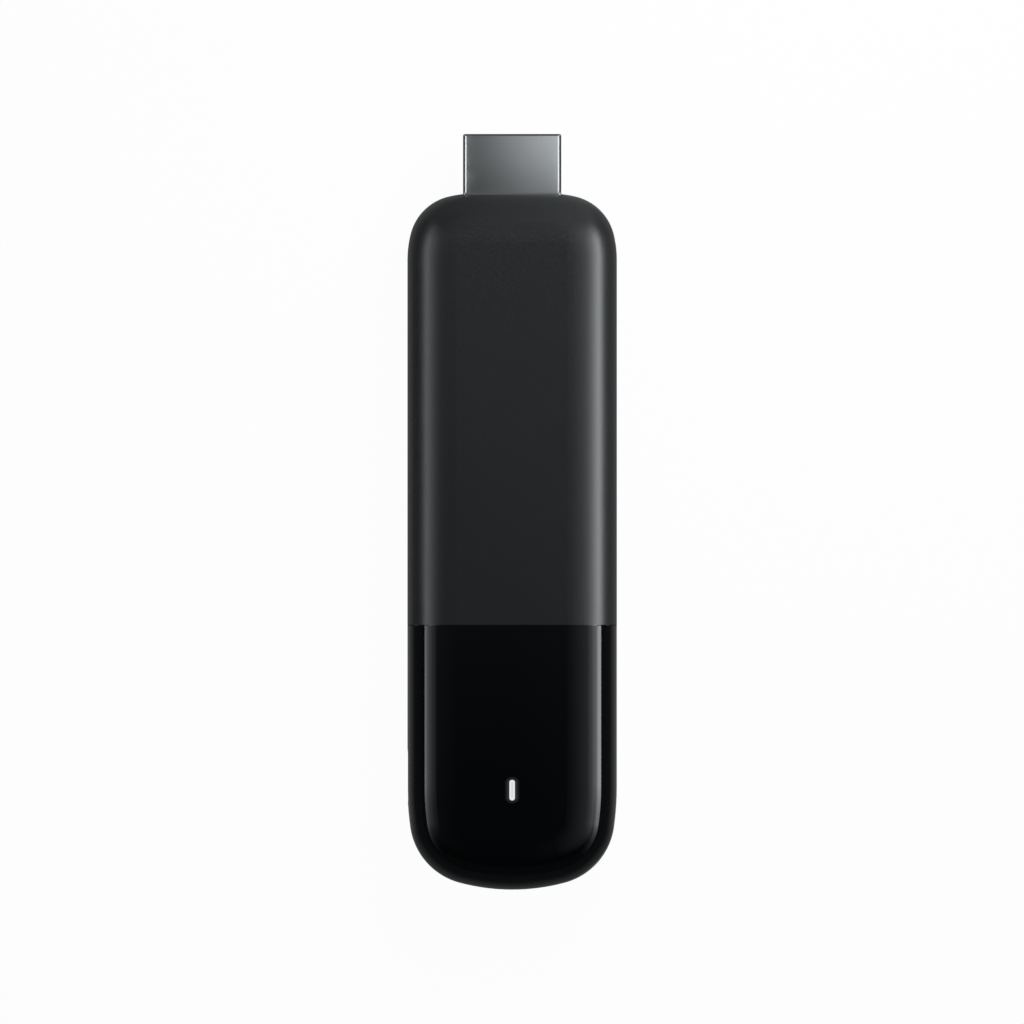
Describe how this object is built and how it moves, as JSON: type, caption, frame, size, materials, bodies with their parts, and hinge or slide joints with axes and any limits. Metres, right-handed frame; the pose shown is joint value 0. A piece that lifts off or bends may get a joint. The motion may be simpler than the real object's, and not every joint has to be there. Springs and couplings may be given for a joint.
{
  "type": "streaming media stick",
  "caption": "Slim rounded media stick with a matte front, a gloss lower cap with a light slot, a video plug at one end and a small power port in its side.",
  "frame": {"origin": "middle of the whole stick, plug included, on the surface under its back", "axes": "+X to the right as seen from the front, +Y towards the video plug, +Z out of the front face"},
  "size_m": [0.0296, 0.1068, 0.0154],
  "materials": {
    "matte_black": "fine matte moulding",
    "gloss_black": "high gloss moulding",
    "light_white": "clear, lit from behind",
    "plug_steel": "satin nickel plate",
    "insulator_black": "satin moulding",
    "contact_gold": "gold plate",
    "board_mask": "solder mask",
    "package_black": "moulded package",
    "shield_tin": "bright tin plate",
    "spreader_aluminium": "mill finish",
    "pad_grey": "soft silicone",
    "foam_black": "closed foam",
    "ceramic_tan": "fired ceramic",
    "ferrite_grey": "ferrite",
    "screw_steel": "zinc plate"
  },
  "bodies": {
    "root": {"rear_cover": "matte_black", "front_cover": "matte_black", "window_cap": "gloss_black", "light_pipe": "light_white", "light_gasket": "foam_black", "status_led": "light_white", "video_plug_shell": "plug_steel", "video_plug_insulator": "insulator_black", "plug_contacts_front": "contact_gold", "plug_contacts_rear": "contact_gold", "main_board": "board_mask", "board_screws": "screw_steel", "usb_shell": "plug_steel", "usb_insulator": "insulator_black", "usb_contacts": "contact_gold", "processor": "package_black", "memory_chips": "package_black", "flash_chip": "package_black", "power_chip": "package_black", "power_inductors": "ferrite_grey", "ceramic_capacitors": "ceramic_tan", "line_filters": "ceramic_tan", "clock_crystal": "shield_tin", "wireless_module": "board_mask", "wireless_module_can": "shield_tin", "front_shield_frame": "shield_tin", "front_shield_lid": "shield_tin", "rear_shield_can": "shield_tin", "processor_thermal_pad": "pad_grey", "flash_thermal_pad": "pad_grey", "front_thermal_pad": "pad_grey", "rear_thermal_pad": "pad_grey", "front_heat_spreader": "spreader_aluminium", "rear_heat_spreader": "spreader_aluminium", "antenna_left": "shield_tin", "antenna_right": "shield_tin"}
  },
  "joints": []
}
